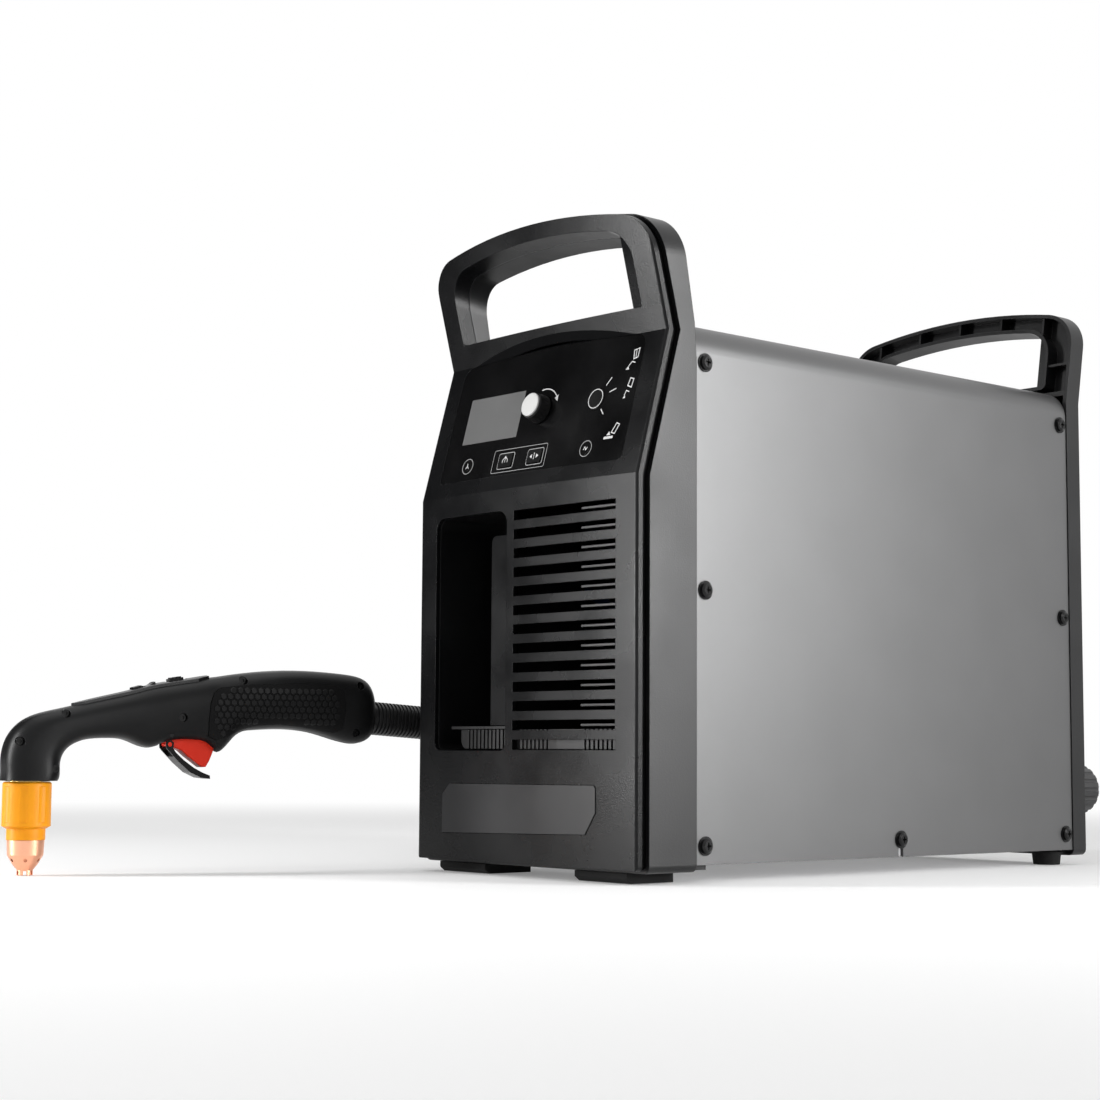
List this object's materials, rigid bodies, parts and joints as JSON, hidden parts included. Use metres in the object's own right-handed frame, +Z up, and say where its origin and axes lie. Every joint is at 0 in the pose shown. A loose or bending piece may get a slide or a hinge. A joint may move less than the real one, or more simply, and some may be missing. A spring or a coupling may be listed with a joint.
{
  "type": "plasma cutter unit",
  "caption": "Portable plasma cutter power source with arched carry handles, louvred front bay, rear connections and hand torch on a coiled lead.",
  "frame": {"origin": "on the floor plane, under the middle of the case and torch together, the lead left out", "axes": "+X to the right flank seen from the front, +Y to the back, +Z up"},
  "size_m": [0.5678, 0.8012, 0.455],
  "materials": {
    "case_plastic": "fine texture",
    "panel_black": "gloss",
    "display_grey": "gloss",
    "board_green": "semi-matte",
    "knob_black": "satin",
    "cap_grey": "satin",
    "key_black": "satin",
    "lamp_clear": "gloss",
    "badge_dark": "semi-gloss",
    "socket_black": "semi-gloss",
    "release_grey": "satin",
    "cover_paint": "fine metallic paint",
    "screw_black": "black zinc",
    "zinc_steel": "zinc plated",
    "foot_rubber": "matte",
    "brass": "turned",
    "fan_black": "satin",
    "alloy": "extruded",
    "can_dark": "gloss",
    "winding": "varnished",
    "core_dark": "matte",
    "hose_blue": "smooth",
    "torch_black": "fine texture",
    "grip_black": "honeycomb grip",
    "strip_black": "semi-gloss",
    "trigger_red": "semi-gloss",
    "safety_black": "satin",
    "spring_steel": "drawn",
    "cartridge_yellow": "semi-gloss",
    "copper": "copper, turned",
    "sleeve_rubber": "matte",
    "lead_rubber": "matte",
    "plug_black": "satin"
  },
  "bodies": {
    "unit": {"front_shell": "case_plastic", "front_face": "case_plastic", "control_panel": "panel_black", "display_lens": "display_grey", "control_board": "board_green", "indicator_lenses": "lamp_clear", "badge_plate": "badge_dark", "bay_liner": "case_plastic", "vent_insert": "case_plastic", "torch_receptacle": "socket_black", "work_lead_socket": "socket_black", "cover": "cover_paint", "cover_screws": "screw_black", "base_pan": "zinc_steel", "front_feet": "foot_rubber", "rear_feet": "foot_rubber", "rear_bezel": "case_plastic", "rear_panel": "screw_black", "cord_gland": "socket_black", "gland_nut": "socket_black", "power_switch_body": "socket_black", "air_inlet": "brass", "filter_regulator": "alloy", "fan_frame": "fan_black", "bulkhead": "alloy", "heatsink": "alloy", "power_board": "board_green", "capacitors": "can_dark", "transformer": "core_dark", "output_choke": "winding", "gas_valve": "brass", "air_hoses": "hose_blue", "torch_shell_left": "torch_black", "torch_shell_right": "torch_black", "torch_screws": "screw_black", "grip_inlays": "grip_black", "torch_control_strip": "strip_black", "trigger_pin": "zinc_steel", "trigger_spring": "spring_steel", "torch_head": "brass", "lead_sleeve": "sleeve_rubber", "lead_run": "lead_rubber", "lead_coil": "lead_rubber", "lead_tail": "lead_rubber", "torch_plug": "plug_black"},
    "encoder_shaft": {"encoder_shaft": "zinc_steel"},
    "knob": {"adjust_knob": "knob_black", "knob_cap": "cap_grey"},
    "mode_button": {"mode_button": "key_black"},
    "gas_button": {"gas_button": "key_black"},
    "amps_button": {"amps_button": "key_black"},
    "release_button": {"release_button": "release_grey"},
    "power_switch_knob": {"power_switch_knob": "knob_black"},
    "fan_rotor": {"fan_rotor": "fan_black"},
    "torch_rocker": {"torch_rocker": "key_black"},
    "torch_lock_switch": {"torch_lock_switch": "safety_black"},
    "torch_trigger": {"torch_trigger": "trigger_red"},
    "trigger_safety": {"trigger_safety": "safety_black"},
    "cartridge": {"cartridge_body": "cartridge_yellow", "cartridge_nozzle": "copper"}
  },
  "joints": [
    {"name": "encoder_push", "type": "slide", "parent": "unit", "child": "encoder_shaft", "axis": [0, 0.9635, -0.2676], "range_m": [0, 0.0008], "stiffness_N_per_m": 1500, "springref_m": -0.001},
    {"name": "encoder_turn", "type": "hinge", "parent": "encoder_shaft", "child": "knob", "pos_m": [0.05908, -0.10777, 0.32292], "axis": [0, -0.9635, 0.2676], "continuous": true},
    {"name": "mode_press", "type": "slide", "parent": "unit", "child": "mode_button", "axis": [0, 0.9635, -0.2676], "range_m": [0, 0.0006], "stiffness_N_per_m": 1500, "springref_m": -0.001},
    {"name": "gas_press", "type": "slide", "parent": "unit", "child": "gas_button", "axis": [0, 0.9635, -0.2676], "range_m": [0, 0.0006], "stiffness_N_per_m": 1500, "springref_m": -0.001},
    {"name": "amps_press", "type": "slide", "parent": "unit", "child": "amps_button", "axis": [0, 0.9635, -0.2676], "range_m": [0, 0.0006], "stiffness_N_per_m": 1500, "springref_m": -0.001},
    {"name": "receptacle_release", "type": "slide", "parent": "unit", "child": "release_button", "axis": [0, 0, -1], "range_m": [0, 0.0025], "stiffness_N_per_m": 800, "springref_m": -0.002},
    {"name": "power_switch_turn", "type": "hinge", "parent": "unit", "child": "power_switch_knob", "pos_m": [0.12758, 0.36108, 0.312], "axis": [0, -1, 0], "range_deg": [0, 90]},
    {"name": "fan_spin", "type": "hinge", "parent": "unit", "child": "fan_rotor", "pos_m": [0.01058, 0.34108, 0.25], "axis": [0, 1, 0], "continuous": true},
    {"name": "rocker_tilt", "type": "hinge", "parent": "unit", "child": "torch_rocker", "pos_m": [-0.14286, -0.30391, 0.1225], "axis": [-0.9814, 0.192, 0], "range_deg": [-3, 3], "stiffness_Nm_per_rad": 0.5},
    {"name": "lock_slide", "type": "slide", "parent": "unit", "child": "torch_lock_switch", "axis": [0.1894, 0.9683, 0.1628], "range_m": [0, 0.0025]},
    {"name": "trigger_squeeze", "type": "hinge", "parent": "unit", "child": "torch_trigger", "pos_m": [-0.1396, -0.28723, 0.0955], "axis": [0.9814, -0.192, 0], "range_deg": [0, 9], "stiffness_Nm_per_rad": 0.6, "springref_deg": -11.46, "deforming": ["trigger_spring"]},
    {"name": "safety_lift", "type": "hinge", "parent": "torch_trigger", "child": "trigger_safety", "pos_m": [-0.13931, -0.28576, 0.089], "axis": [0.9814, -0.192, 0], "range_deg": [0, 3], "stiffness_Nm_per_rad": 0.3, "springref_deg": -5.73},
    {"name": "cartridge_twist", "type": "hinge", "parent": "unit", "child": "cartridge", "pos_m": [-0.15822, -0.38242, 0.045], "axis": [0, 0, 1], "range_deg": [0, 90]}
  ]
}
